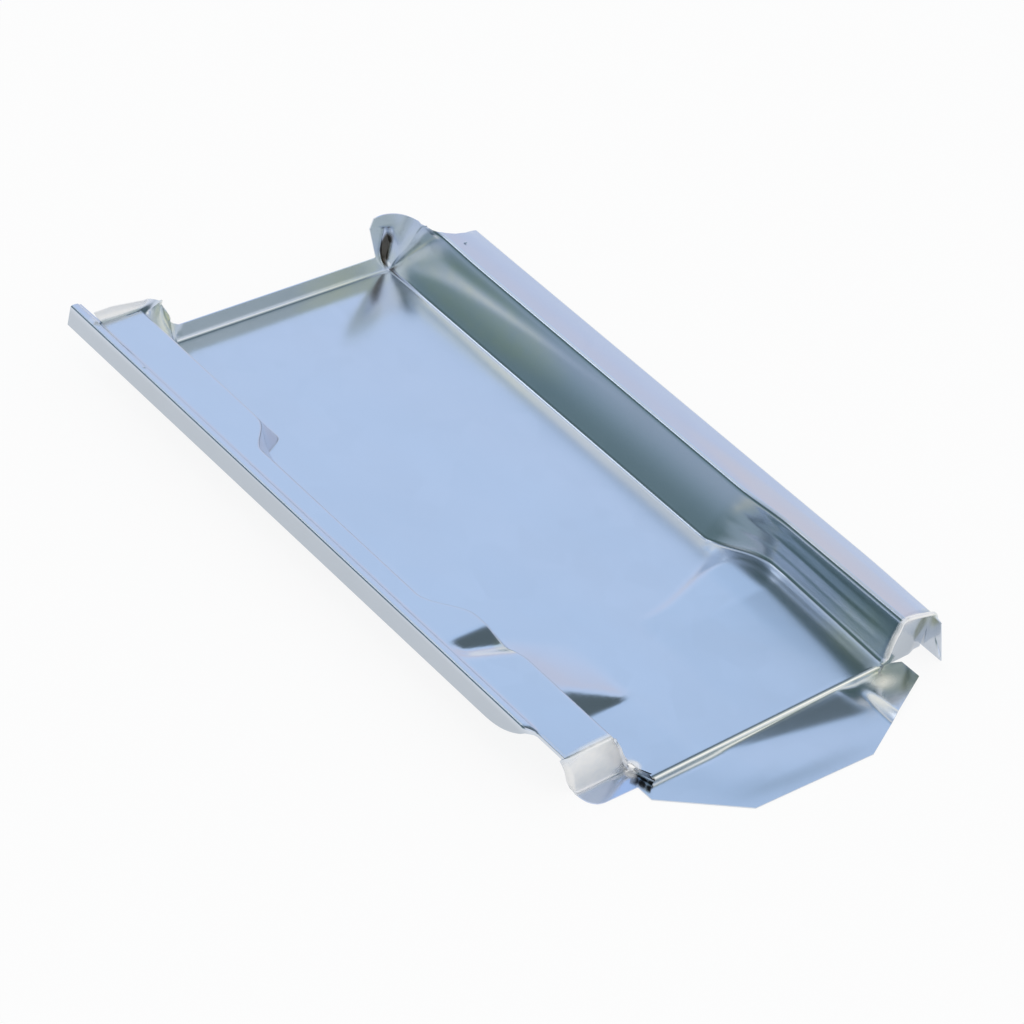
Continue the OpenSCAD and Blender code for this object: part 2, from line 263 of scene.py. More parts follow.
def sectionPoint(kind, t, y):  # t runs from 0 to 1 along each stretch
    k = sectionCorners(y)
    if kind in bendColumns:
        return bendAt(k, bendColumns[kind], t)
    if kind == "flange":
        return plane(k["edgeX"], mix(k["low"], k["top"] - k["bead"], t))
    size = k["bead"] / 3
    if kind == "bead":
        a = np.radians(180 - 88 * np.minimum(t / 0.55, 1))
        over = max(0, t - 0.55) / 0.45
        x = k["edgeX"] + size * (1.5 * (1 + np.cos(a)) + 3.6 * over)
        return plane(x, k["top"] - size * (1.5 - 1.5 * np.sin(a) + 0.25 * over ** 2))
    beadEnd = plane(k["edgeX"] + size * 8.4, sideLock["height"] + stripDip(k["edgeX"] + 8, y))
    if kind == "beadFoot":
        start = plane(k["edgeX"] + size * 5.1, k["top"] - size * 0.25)
        step = plane(k["edgeX"] + size * 6.3, beadEnd[..., 1])
        return mix(mix(start, step, t), mix(step, beadEnd, t), t)
    if kind == "strip":
        e = bendAt(k, "edge", 0)
        x = mix(beadEnd[..., 0], e[..., 0], t)
        return plane(x, mix(sideLock["height"] + stripDip(x, y), e[..., 1], ramp(t, 0.9, 1)))
    if kind == "innerWall":
        return mix(bendAt(k, "edge", 1), bendAt(k, "foot", 0), t)
    if kind == "pan":
        p = mix(bendAt(k, "foot", 1), bendAt(k, "wall", 0), t)
        fade = ramp(t, 0, 0.03) * falling(ramp, t, 0.97, 1)
        return plane(p[..., 0], mix(p[..., 1], panHeight(p[..., 0], y), fade))
    if kind == "wall":
        a, b = bendAt(k, "wall", 1), bendAt(k, "crest", 0)
        out = unit(b - a)[..., ::-1] * np.array([-1, 1])
        sag = coverRib["wallSag"] * np.sin(math.pi * t) * np.ones_like(y)
        return mix(a, b, t) + out * (streaks(t, y) + headSwell(t, y) - sag)[..., None]
    if kind == "ribTop":
        p = mix(bendAt(k, "crest", 1), bendAt(k, "side", 0), t)
        p[..., 1] += coverRib["crown"] * np.sin(math.pi * t)
        return p
    return mix(bendAt(k, "side", 1), k["hem"], t)


def headTurn(height, y):  # the rib's wall turns in at the head, on a radius that grows with height
    radius = coverRib["headRadius"] * np.clip(height, 0, 1.1)
    start = pan["length"] - radius
    d = np.clip(y - start, 0, radius * 0.7072)
    return radius - np.sqrt(np.maximum(radius ** 2 - d ** 2, 0))


crestHead = coverRib["height"] + 1.5
halfTurn = 1 - math.sqrt(0.5)


def footLine(j, kind, t):  # where each column of the shell starts
    first = firstColumn
    if j < first["edgeBend"] + 3:
        return foot["boxBack"] + 1.6
    if j < first["footBend"]:
        return foot["boxBack"] + 0.3
    if j < first["pan"]:
        return mix(foot["boxBack"] + 0.3, 14, t)
    if kind == "pan":
        return track(t, (0, 10), (0.012, 0.5 * foot["nose"]), (0.98, 0.5 * foot["nose"]), (1, 1))
    if kind in ("wallBend", "wall", "crestBend", "ribTop"):
        return 0
    start = first["sideBend"] + 4
    return mix(0, -coverRib["lean"], max(0, (j - start) / (columnCount - 1 - start)))


def edgeRadius(x):
    return mix(steel["bend"], steel["headBend"], ease(x, 1, 6) * falling(ease, x, 149, 161))


# Where the rib's top ends at the head, against the distance past the rib's crest
ribHeadEnd = [(-1, 412), (-0.2, 407.5), (0.8, 404.6), (4.3, 402.4), (11, 400.5), (21, 401.2), (27, 403),
              (31, 404)]


def headLine(j, kind, t):  # where each column of the shell ends
    first, top = firstColumn, pan["length"]
    if kind in ("flange", "bead", "beadFoot"):
        return headTipY
    if kind in ("strip", "edgeBend", "innerWall", "footBend"):
        return mix(top + 6.6, top - steel["bend"], ramp(j, first["edgeBend"], first["pan"]))
    p = sectionPoint(kind, t, np.array([top - 5.0]))[0]
    if kind == "pan":
        return top - edgeRadius(p[0])
    if kind in ("wallBend", "wall"):
        return top - halfTurn * coverRib["headRadius"] * np.clip(p[1] / crestHead, 0, 1)
    return track(p[0] - ribX, *ribHeadEnd)


def spread(a, b, step):
    n = max(1, round((b - a) / step))
    return [mix(a, b, i / n) for i in range(n)]


# Rows of the shell: shares of the foot and head stretches, and distances along the middle one
flangeFoot = sideLock["flangeFoot"]
footPart = [0, 0.02, 0.05, 0.09, 0.14, 0.2, 0.27, 0.35, 0.43, 0.52, 0.61, 0.7, 0.79, 0.87, 0.94]
headStart = 372
midPart = (spread(flangeFoot, 160, 1.9) + spread(160, 285, 9) + spread(285, 322, 2.2)
           + spread(322, headStart, 8))
headPart = [0, 0.12, 0.22, 0.31, 0.39, 0.47, 0.54, 0.61, 0.67, 0.73, 0.78, 0.83, 0.87, 0.91, 0.94, 0.97,
            0.985, 1]


def shellGrid():
    grid = []
    for j, (kind, t) in enumerate(columns):
        low, high = footLine(j, kind, t), headLine(j, kind, t)
        footRows = [mix(low, flangeFoot, f) for f in footPart]
        y = np.array(footRows + midPart + [mix(headStart, high, f) for f in headPart])
        p = sectionPoint(kind, t, y)
        x, z = p[:, 0].copy(), p[:, 1]
        if kind in ("wall", "crestBend"):
            fade = 1 if kind == "wall" else (1 - t) ** 2
            climb = 3.0 * ease(y, 405, 413.6) * (z / crestHead) ** 2.3 * fade
            x += coverRib["run"] / coverRib["height"] * climb
            z = z + climb
        if kind in ("wallBend", "wall", "crestBend", "ribTop"):
            x -= headTurn(z / crestHead if kind in ("wallBend", "wall") else np.ones_like(z), y)
        grid.append(np.stack([x, y, z], -1))
    return np.array(grid).transpose(1, 0, 2)


class Patchwork:
    def __init__(self):
        self.points, self.faces = [], []

    def addGrid(self, grid, flip=False):
        rows, cols = grid.shape[:2]
        base = len(self.points)
        self.points.extend(grid.reshape(-1, 3).tolist())
        for i in range(rows - 1):
            for j in range(cols - 1):
                a = base + i * cols + j
                face = (a, a + 1, a + cols + 1, a + cols)
                self.faces.append(face[::-1] if flip else face)


def bendUp(x, run, base, r):  # lays a flat run of sheet round a quarter bend and up
    a = np.clip(run / r, 0, math.pi / 2)
    y = base + r * np.sin(a)
    z = r * (1 - np.cos(a)) + np.maximum(run - r * math.pi / 2, 0)
    return np.stack([x, y, z], -1)


def coons(bottom, top, left, right):  # a surface between four edges
    n, m = len(left), len(bottom)
    s = np.linspace(0, 1, m)[None, :, None]
    t = np.linspace(0, 1, n)[:, None, None]
    ruledA = mix(bottom[None], top[None], t)
    ruledB = mix(left[:, None], right[:, None], s)
    corners = mix(mix(bottom[0], bottom[-1], s), mix(top[0], top[-1], s), t)
    return ruledA + ruledB - corners


def polyline(points, n):
    points = np.array(points, float)
    d = np.concatenate([[0], np.cumsum(np.linalg.norm(np.diff(points, axis=0), axis=1))])
    at = np.linspace(0, d[-1], n)
    return np.stack([np.interp(at, d, points[:, i]) for i in range(points.shape[1])], -1)


# The lip and the fan of pleats beside it are given from the pan's head line.
head = {"cornerRun": 8.0, "lip": [(-57.5, 10.2, 34.6), (-44.5, 10.3, 34.8), (-22, 9, 32.6)],
        "fan": [(-22, 9, 32.6), (-10.5, 7, 31.8), (-8.8, 3, 24), (-6.8, 1.5, 18.5), (-3.5, 1.2, 14.6),
                (0, 1.2, 13)],
        "pleatDepth": 2.5, "pleats": 2.6,
        "creaseX": [(0, 169.0), (2.3, 168.2), (10, 166), (18, 164.4), (24, 162.9), (34.6, 160.5)],
        "creaseGap": [(0, 0.4), (2.3, 1.4), (10, 5.5), (18, 8.6), (24, 6), (34.6, 0.8)], "creaseDepth": 4.2,
        "creaseTop": 34.6, "tipX": 144.6, "tipLow": 38.3, "bendShare": 0.6}


def edgeRun(f, bend):  # distances up the turned edge, with bendShare of the rows in its bend
    share, arc = head["bendShare"], bend * math.pi / 2
    above = mix(arc, pan["headHeight"] - bend + arc, (f - share) / (1 - share))
    return np.where(f < share, f / share * arc, above)


def headEdge(grid):  # the turned-up edge, the lip behind the strip and the pleats between them
    first, rows, top, share = firstColumn, 15, pan["length"], head["bendShare"]
    end = grid[-1]
    cornerX = end[first["wallBend"], 0] - head["cornerRun"]
    cols = [j for j in range(first["strip"], first["wallBend"]) if end[j, 0] < cornerX]
    last = 59
    lip, fan = (polyline([(x, top + y, z) for x, y, z in head[k]], last + 1) for k in ("lip", "fan"))
    wallEnd = first["pan"]
    grid = np.zeros((rows, len(cols), 3))
    f = np.linspace(0, 1, rows)
    for c, j in enumerate(cols):
        a = end[j]
        if j >= wallEnd:
            bend = float(edgeRadius(a[0]))
            q = bendUp(np.full(rows, a[0]), edgeRun(f, bend), top - bend, bend)
            q[:, 2] += a[2] * (1 - f)
            grid[:, c] = q
            continue
        w = ramp(j, first["edgeBend"], wallEnd)
        onLip = float(ramp(j, first["strip"], first["edgeBend"]))
        b = lip[round(last * onLip)] if w == 0 else fan[round(last * float(w))]
        g = np.where(f < share, f / share * 0.35, mix(0.35, 1, (f - share) / (1 - share)))
        q = mix(a, b, g[:, None])
        q[:, 2] -= 0.6 * (1 - w) * np.sin(math.pi * g)
        q[:, 1] += 0.6 * (1 - w) * np.sin(math.pi * g)
        pleat = abs((w * head["pleats"] + 0.25) % 1 - 0.5) * 4 - 1
        q[:, 1] -= head["pleatDepth"] * pleat * g * min(1, w * 5) * min(1, (1 - w) * 4)
        grid[:, c] = q
    return grid


def cornerPleat(edge, shell):  # closes the head corner from the edge up to the open crease
    top, bend = pan["length"], steel["bend"]
    lowRows, highRows, count = edge.shape[0], 18, 16
    gained = bend * math.pi / 2 - bend  # how much longer the flat sheet is than its height
    start = edge[0, -1, 0]
    base = shell[-1, firstColumn["wallBend"], 0]
    run = edgeRun(np.linspace(0, 1, lowRows), bend)
    left = np.stack([np.full(lowRows, start), run], -1)
    tip = (head["tipX"], head["tipLow"] + gained)
    left = np.concatenate([left, polyline([(start, run[-1]), tip], highRows + 1)[1:]])
    z = np.concatenate([run, np.linspace(run[-1], head["creaseTop"] + gained, highRows + 1)[1:]])
    flat = np.maximum(z - gained, 0)
    rightX = track(flat, *head["creaseX"]) - track(flat, *head["creaseGap"]) / 2
    right = np.stack([rightX, z], -1)
    bottom = np.stack([np.linspace(start, base, count), np.zeros(count)], -1)
    upper = mix(np.array(tip), right[-1], np.linspace(0, 1, count)[:, None])
    bottom[-1] = right[0]
    flatGrid = coons(bottom, upper, left, right)
    points = bendUp(flatGrid[..., 0], flatGrid[..., 1], top - bend, bend)
    distance = right[:, None, 0] - points[..., 0]
    rolled = ease(points[..., 2], 1.5, 6)
    points[..., 1] += head["creaseDepth"] * np.exp(-distance / 1.3) * rolled
    return points


# The ear's rounded top: its highest point, and how it falls to the right and to the left of it
earRound = {"x": 152, "z": 46.5, "right": 0.0397, "rightPower": 1.65, "left": 0.024}


def earTop(x):
    e = earRound
    right = e["right"] * np.maximum(x - e["x"], 0) ** e["rightPower"]
    return e["z"] - right - e["left"] * np.maximum(e["x"] - x, 0) ** 2


def earGrid(shell):  # the wall's end goes on round a cone and lies flat behind the pan
    first, rows, radius, top = firstColumn, 34, coverRib["headRadius"], pan["length"]
    cols = list(range(first["wallBend"], first["crestBend"] + 1))
    y = np.array([top - 5.0])
    grid = np.zeros((rows, len(cols), 3))
    quarter = 16  # rows on the cone, before those that lie flat
    n = rows - quarter
    arc = math.pi / 4 * (1 + np.arange(quarter) / (quarter - 1))
    g = 1 - (1 - np.arange(1, n + 1) / n) ** 1.6
    lean = coverRib["run"] / coverRib["height"]

    def path(hinge, z):
        r = radius * z / crestHead
        gap = np.interp(z, *zip(*head["creaseGap"])) / 2 * (z < head["creaseTop"])
        end = track(z, *head["creaseX"], (36.2, 154), (38.5, head["tipX"]), (46, head["tipX"] + 1.4)) + gap
        x = np.concatenate([(hinge - r + r * np.cos(np.pad(arc, (0, n))))[:quarter],
                            mix((hinge - r)[quarter:], end[quarter:], g)])
        back = np.concatenate([(top - r + r * np.sin(np.pad(arc, (0, n))))[:quarter], np.full(n, float(top))])
        return x, back, end

    def hinge(j, z):
        at = sectionPoint(*columns[j], y)[0]
        return at[0] + lean * (z - at[1])

    topZ = shell[-1, cols[-1], 2]
    stretch = np.ones(rows)
    for _ in range(6):
        x = path(hinge(cols[-1], topZ * stretch), topZ * stretch)[0]
        stretch = earTop(x) / topZ
    stretch = mix(1, stretch, ease(np.arange(rows), 0, 3))
    for c, j in enumerate(cols):
        a = shell[-1, j]
        h = float(np.clip(a[2] / topZ, 0, 1))
        z = a[2] * mix(1, stretch, h ** 1.3)
        x, back, end = path(hinge(j, z), z)
        roll = head["creaseDepth"] * np.exp(-(x - end) / 1.5) * falling(ease, z, 33, 36) * ease(z, 1.5, 6)
        grid[:, c] = np.stack([x, back + roll, z], -1)
        grid[0, c] = a
    return grid


def creaseGroove(pleat, ear):  # the back of the open crease
    earSide = ear[-1]
    z = np.linspace(0, 35.5, 26)
    lines = []
    for side in (pleat[:, -1], earSide[earSide[:, 2] < 36.5]):
        lines.append(np.stack([np.interp(z, side[:, 2], side[:, i]) for i in range(3)], -1))
    left, right = lines
    middleLine = (left + right) / 2 + np.array([0, 1.5, 0])
    return np.stack([left, middleLine, right], 1)


box = {"bend": 1.6, "cove": 1.3, "round": 3.8, "right": [(-5, -0.5), (28, -22.0)],
       "left": [(-5, -39.5), (-2.9, -41), (3.5, -45), (10.6, -48.2), (18, -52.3), (23.4, -56), (26, -57),
                (28, -56.6)]}


def boxEnd():  # closes the side lock's foot
    t, bend, cove, count = foot["boxBack"], box["bend"], box["cove"], 30
    rows = []
    top, low = sideLock["height"], apronZ
    for a in np.linspace(0, math.pi / 2, 7):
        rows.append((t + bend - bend * math.sin(a), top - bend + bend * math.cos(a)))
    for z in np.linspace(top - bend, low + cove, 12)[1:-1]:
        rows.append((t, z))
    for a in np.linspace(0, math.pi / 2, 6):
        rows.append((t - cove + cove * math.cos(a), low + cove - cove * math.sin(a)))
    c = np.linspace(0, 1, count) ** 1.35
    grid = np.zeros((len(rows), count, 3))
    for i, (y, z) in enumerate(rows):
        x = mix(track(z, *box["left"]), track(z, *box["right"]), c)
        around = box["round"] * (1 - np.sqrt(np.maximum(0, 1 - np.maximum(0, 1 - c / 0.10) ** 2)))
        fade = 1 if z > low + cove else (z - low) / cove
        grid[i, :, 0] = x
        grid[i, :, 1] = y + around * min(1, fade + 0.3) * ramp(top - z, 0, 2.5)
        grid[i, :, 2] = z
    return grid


# Outline of the apron from its left end to its right one, and the parts its columns are set out in
apron = {"front": [(-39.2, 15.5), (-39.1, 13.5), (-37.7, 9), (-35.8, 6.4), (-33.5, 4.6), (-29.7, 3.5),
                   (-5.01, 2.9), (-5.0, -8), (42, -foot["apron"] + 4),
                   (42 + foot["apronFront"], -foot["apron"]), (203.9, -15.6), (204.6, -2)],
         "back": [(-39.2, 17.5), (-5, 17.5), (-4.9, 14.5), (184, 14.5), (189, 5), (204.6, -1.0)],
         "parts": [(-39.2, -36, 6), (-36, -5.02, 14), (-4.98, 42, 28), (42, 133, 40), (133, 204.6, 48)],
         "facetSlope": 0.13, "facetStart": 52, "facetSlant": 0.19, "facetIn": (46, 60),
         "facetOut": (146, 168), "tabReach": 12, "tabLines": [(160.5, -0.6), (169.5, 0.8)], "tabRise": 0.5,
         "tabSlope": 0.10, "dent": 0.95, "dentX": (180, 6.5), "dentY": (-4, 5), "buckle": 0.16,
         "swell": 0.12, "swellX": (58, 20), "swellY": (-24, 9)}


def apronGrid():
    a = apron
    x = np.unique(np.concatenate([np.linspace(*part) for part in a["parts"]]))
    frontY, backY = track(x, *a["front"]), track(x, *a["back"])
    s = np.concatenate([np.linspace(0, 0.6, 22), np.linspace(0.6, 1, 26)[1:]])[:, None]
    y = mix(frontY[None], backY[None], s)
    xx = np.broadcast_to(x, y.shape)
    slant = y + 0.5 + a["facetSlant"] * np.maximum(xx - a["facetStart"], 0)
    onFacet = ease(xx, *a["facetIn"]) * falling(ease, xx, *a["facetOut"])
    lift = a["facetSlope"] * (slant + np.sqrt(slant ** 2 + 2)) / 2 * onFacet
    near = np.clip(y + a["tabReach"], 0, a["tabReach"])
    flat, full = (at + more * near for at, more in a["tabLines"])
    tabUp = ease(xx, flat, full) * (a["tabRise"] + a["tabSlope"] * np.maximum(0, -y - 1))
    dent = a["dent"] * bell(xx, *a["dentX"]) * bell(y, *a["dentY"])
    inside = ease(y, -44, -30) * ramp(-y, -2, 4) * ease(xx, 5, 40)
    wave = a["buckle"] * (1 + np.sin(xx / 21 + y / 13)) * inside
    swell = a["swell"] * bell(xx, *a["swellX"]) * bell(y, *a["swellY"])
    rise = lift + tabUp - dent + wave + swell
    return np.stack([xx, y, apronZ + rise * np.where(y > 0, falling(ramp, y, 1.2, 3), 1)], -1)


tab = {"left": 192, "right": 225, "front": 1.7, "fold": (214, 220), "foldDepth": 1.6,
       "top": [(192, 28.6), (195.6, 29.9), (207, 27.2), (218.4, 24.3), (222.5, 21), (225, 15)],
       "side": [(-5, 192.5), (0, 189.6), (8, 190.4), (16, 190.2), (22.5, 191.6), (30, 192)],
       "wave": 0.5, "waveLength": 9}


def ribTab():  # closes the rib's foot
    count = 30
    across = np.linspace(tab["left"], tab["right"], count)
    z = mix(np.full(count, apronZ)[None], track(across, *tab["top"])[None], np.linspace(0, 1, 18)[:, None])
    leftX = track(z, *tab["side"])
    x = mix(leftX, tab["right"], np.linspace(0, 1, count)[None])
    wave = tab["wave"] * np.sin((x - 190) / tab["waveLength"]) * ramp(z, -5, 8)
    y = tab["front"] + tab["foldDepth"] * facet(x, *tab["fold"], 0.3) + wave
    return np.stack([x, y, z], -1)


# The short wall between the pan's corner and the apron, from the box end to the nose; it stands in the slot's
# shade and carries the painted slot shadow
slot = {"top": [(-2.9, 10.3, -0.4), (1.9, -1.2, -0.4)], "foot": [(-0.2, 12.2, apronZ), (2.7, -0.2, apronZ)]}


def slotShadowWall():
    top, low = (polyline(slot[k], 12) for k in ("top", "foot"))
    return mix(top[None], low[None], np.linspace(0, 1, 6)[:, None, None])


print("shaping the pressed sheet")
shell = shellGrid()
edge = headEdge(shell)
pleat = cornerPleat(edge, shell)
ear = earGrid(shell)
work = Patchwork()
for grid in (shell, edge, pleat, ear, creaseGroove(pleat, ear)):
    work.addGrid(grid)
work.addGrid(boxEnd(), flip=True)
for grid in (apronGrid(), ribTab(), slotShadowWall()):
    work.addGrid(grid)


def addObject(name, data):
    ob = bpy.data.objects.new(name, data)
    bpy.context.scene.collection.objects.link(ob)
    return ob


def makeObject(name, points, faces):
    mesh = bpy.data.meshes.new(name)
    mesh.from_pydata(((np.asarray(points) - middle) / 1000).tolist(), [], faces)
    return addObject(name, mesh)


def weld(ob, outwards=False, distance=0.00001):
    bm = bmesh.new()
    bm.from_mesh(ob.data)
    bmesh.ops.remove_doubles(bm, verts=bm.verts, dist=distance)
    bmesh.ops.dissolve_degenerate(bm, edges=bm.edges, dist=distance)
    if outwards:
        bmesh.ops.recalc_face_normals(bm, faces=bm.faces)
    bm.to_mesh(ob.data)
    bm.free()


def applyModifiers(ob):
    deps = bpy.context.evaluated_depsgraph_get()
    mesh = bpy.data.meshes.new_from_object(ob.evaluated_get(deps))
    ob.modifiers.clear()
    ob.data = mesh


def giveThickness(ob):
    m = ob.modifiers.new("wall", "SOLIDIFY")
    m.thickness = steel["thickness"] / 1000
    m.offset = -1
    m.use_even_offset = False
    applyModifiers(ob)


def tube(path, radius, sides=10, count=40):
    p = polyline(path, count)
    along = np.gradient(p, axis=0)
    along /= np.linalg.norm(along, axis=1, keepdims=True)
    side = np.cross(along, [0.0, 1.0, 0.0])
    side /= np.maximum(np.linalg.norm(side, axis=1, keepdims=True), 1e-6)
    other = np.cross(along, side)
    a = np.linspace(0, 2 * math.pi, sides, endpoint=False)
    ends = np.ones(count)
    ends[0] = ends[-1] = 0.02
    ends[1] = ends[-2] = 0.8
    ring = side[:, None] * np.cos(a)[None, :, None] + other[:, None] * np.sin(a)[None, :, None]
    grid = p[:, None] + ring * (radius * ends)[:, None, None]
    return np.concatenate([grid, grid[:, :1]], 1)


def nodeMaker(tree):
    def node(kind, **settings):
        n = tree.nodes.new(kind)
        for name, value in settings.items():
            if hasattr(n, name):
                setattr(n, name, value)
        return n

    def join(source, target):
        tree.links.new(source, target)

    def calc(operation, a, b=0.0):
        n = node("ShaderNodeMath", operation=operation)
        for i, v in enumerate((a, b)):
            if isinstance(v, (int, float)):
                n.inputs[i].default_value = v
            else:
                join(v, n.inputs[i])
        return n.outputs[0]
    return node, join, calc


def namedInputs(tree, sizes):
    for name, value in sizes.items():
        item = tree.interface.new_socket(name, in_out="INPUT", socket_type="NodeSocketFloat")
        item.default_value = value
    tree.interface.new_socket("Geometry", in_out="OUTPUT", socket_type="NodeSocketGeometry")


def runNodes(name, tree, sizes):
    ob = addObject(name, bpy.data.meshes.new(name))
    m = ob.modifiers.new("nodes", "NODES")
    m.node_group = tree
    for item in tree.interface.items_tree:
        if item.in_out == "INPUT" and item.name in sizes:
            m[item.identifier] = float(sizes[item.name])
    applyModifiers(ob)
    return ob


# Rolled nose: a strip as long as the pan's foot, swept along the fold's outline
hem = {"noseHeight": foot["nose"], "foldDepth": foot["fold"], "wall": steel["thickness"],
       "length": pan["width"] + pan["gain"] - 4.2, "start": 2.2, "lap": 0.6, "square": 0.72, "sink": 0.04}


def foldedHem(metal):
    tree = bpy.data.node_groups.new("foldedHem", "GeometryNodeTree")
    namedInputs(tree, hem)
    node, join, calc = nodeMaker(tree)
    given = node("NodeGroupInput").outputs
    r = calc("MULTIPLY", given["noseHeight"], 0.5)
    bend = calc("SUBTRACT", r, calc("MULTIPLY", given["wall"], 0.5))
    around = calc("MULTIPLY", bend, math.pi)
    run = calc("ADD", calc("ADD", given["lap"], around), calc("SUBTRACT", given["foldDepth"], r))
    line = node("GeometryNodeCurvePrimitiveLine")
    end = node("ShaderNodeCombineXYZ")
    join(run, end.inputs["Y"])
    join(end.outputs[0], line.inputs["End"])
    fine = node("GeometryNodeResampleCurve")
    fine.inputs["Count"].default_value = 72
    join(line.outputs[0], fine.inputs["Curve"])
    u = node("GeometryNodeSplineParameter").outputs["Length"]
    past = calc("SUBTRACT", u, given["lap"])
    angle = calc("MINIMUM", calc("MAXIMUM", calc("DIVIDE", past, bend), 0.0), math.pi)
    front = calc("POWER", calc("MAXIMUM", calc("SINE", angle), 0.0), given["square"])
    y = calc("SUBTRACT", r, calc("MULTIPLY", bend, front))
    y = calc("ADD", y, calc("MAXIMUM", calc("MULTIPLY", past, -1.0), 0.0))
    y = calc("ADD", y, calc("MAXIMUM", calc("SUBTRACT", past, around), 0.0))
    level = calc("COSINE", angle)
    z = calc("SUBTRACT", calc("SUBTRACT", calc("MULTIPLY", bend, level), r), given["sink"])
    place = node("ShaderNodeCombineXYZ")
    join(y, place.inputs["Y"])
    join(z, place.inputs["Z"])
    bent = node("GeometryNodeSetPosition")
    join(fine.outputs[0], bent.inputs["Geometry"])
    join(place.outputs[0], bent.inputs["Position"])
    strip = node("GeometryNodeCurvePrimitiveQuadrilateral")
    join(given["length"], strip.inputs["Width"])
    join(given["wall"], strip.inputs["Height"])
    sweep = node("GeometryNodeCurveToMesh")
    sweep.inputs["Fill Caps"].default_value = True
    join(bent.outputs[0], sweep.inputs["Curve"])
    join(strip.outputs[0], sweep.inputs["Profile Curve"])
    move = node("GeometryNodeTransform")
    offset = node("ShaderNodeCombineXYZ")
    join(calc("ADD", given["start"], calc("MULTIPLY", given["length"], 0.5)), offset.inputs["X"])
    join(sweep.outputs[0], move.inputs["Geometry"])
    join(offset.outputs[0], move.inputs["Translation"])
    finish(node, join, move.outputs[0], metal)
    return runNodes("foldedHem", tree, hem)


def finish(node, join, geometry, metal):
    real = node("GeometryNodeRealizeInstances")
    paint = node("GeometryNodeSetMaterial")
    paint.inputs["Material"].default_value = metal
    join(geometry, real.inputs[0])
    join(real.outputs[0], paint.inputs["Geometry"])
    join(paint.outputs[0], node("NodeGroupOutput").inputs[0])


punch = {"radius": 1.1, "height": 0.4}
punchPlaces = [(-57.6, 381, 29.4), (200, 390, 31.2), (-2.2, 15.4, 1.0)]


def punchMarks(metal):
    tree = bpy.data.node_groups.new("punchMarks", "GeometryNodeTree")
    namedInputs(tree, punch)
    node, join, calc = nodeMaker(tree)
    given = node("NodeGroupInput").outputs
    ball = node("GeometryNodeMeshUVSphere")
    ball.inputs["Segments"].default_value = 16
    ball.inputs["Rings"].default_value = 10
    join(given["radius"], ball.inputs["Radius"])
    flat = node("GeometryNodeTransform")
    scale = node("ShaderNodeCombineXYZ")
    scale.inputs["X"].default_value = scale.inputs["Y"].default_value = 1
    join(calc("DIVIDE", given["height"], given["radius"]), scale.inputs["Z"])
    join(ball.outputs[0], flat.inputs["Geometry"])
    join(scale.outputs[0], flat.inputs["Scale"])
    many = node("GeometryNodeJoinGeometry")
    for x, y, z in punchPlaces:
        point = node("GeometryNodePoints")
        point.inputs["Position"].default_value = (x, y, z)
        join(point.outputs[0], many.inputs[0])
    spots = node("GeometryNodeInstanceOnPoints")
    join(many.outputs[0], spots.inputs["Points"])
    join(flat.outputs[0], spots.inputs["Instance"])
    finish(node, join, spots.outputs[0], metal)
    return runNodes("punchMarks", tree, punch)


zinc = {"base": (0.74, 0.79, 0.86), "shade": (0.70, 0.755, 0.83), "roughness": 0.19, "roughnessDrift": 0.05,
        "drift": 16, "spangle": 55, "cloud": 9, "grain": 900, "grainHeight": 0.012, "grainStrength": 0.5,
        "drawn": 70, "drawnStretch": (1.0, 0.16, 1.0), "drawnHeight": 0.05, "drawnStrength": 0.35}
# Coats laid over the zinc, mostly painted reflections, highlights and shade as noted at each: least share
# and its mottling, added roughness, how much less metallic, and the centre and half size of each place in
# millimetres
# Painted reflection: an olive and cream tint where the ear, the walls, the tab and the apron mirror the
# studio
paintedOliveReflection = {"colour": (0.83, 0.85, 0.72), "share": (0.2, 0.9), "noise": 90, "roughness": 0, "places": [
    ((-8, 423, 20), (9, 7, 13)), ((192, -9, -4), (16, 11, 7)), ((-24, 100, 20), (6, 8, 8)),
    ((217, 1, 18), (7, 5, 10)), ((179.5, 350, 16), (9, 62, 17)), ((136, 421, 8), (34, 3, 8)),
    ((181, 22, 15), (11, 26, 14))]}
# Painted shade: darker grey on the strip's outer flange and the rib's foot tab, dimming their reflection of
# the floor
paintedGreyShade = {"colour": (0.55, 0.60, 0.66), "share": (0.75, 0.2), "noise": 40, "roughness": 0, "places": [
    ((-61.6, 240, 20), (3, 300, 8)), ((206, 2.5, 12), (17, 3, 18))]}
# Painted shade: dark olive on the rib's foot tab, under the rib
shade = {"colour": (0.30, 0.33, 0.24), "share": (0.6, 0.5), "noise": 60, "roughness": 0.05, "places": [
    ((217, 1.8, 15), (4.5, 2.2, 8))]}
# Painted reflection: sky blue on the flap under the box end
paintedBlueReflection = {"colour": (0.62, 0.71, 0.92), "share": (0.7, 0.1), "noise": 40, "roughness": 0, "places": [
    ((-30, 6, -5.4), (27, 9, 1.6))]}
# Painted highlight: white along the rolled nose
paintedNoseHighlight = {"colour": (0.97, 0.98, 0.95), "share": (0.8, 0.1), "noise": 40, "roughness": 0.04, "places": [
    ((90, 0, -2), (94, 1.8, 2.8))]}
# Painted shadow: black in the slot beside the nose, inside the fold's end
paintedSlotShadow = {"colour": (0.03, 0.03, 0.03), "share": (1.0, 0), "noise": 40, "roughness": 0.1, "places": [
    ((-1.0, 9.0, -2.8), (1.7, 2.4, 1.9)), ((0.7, 5.0, -2.8), (1.7, 2.8, 1.9)),
    ((2.3, 0.3, -2.6), (1.8, 2.8, 1.9))]}
# A warm pinkish tint along the rib's top
warm = {"colour": (0.86, 0.80, 0.74), "share": (0.35, 0.3), "noise": 30, "roughness": 0, "places": [
    ((203, 70, 30), (9, 90, 7))]}
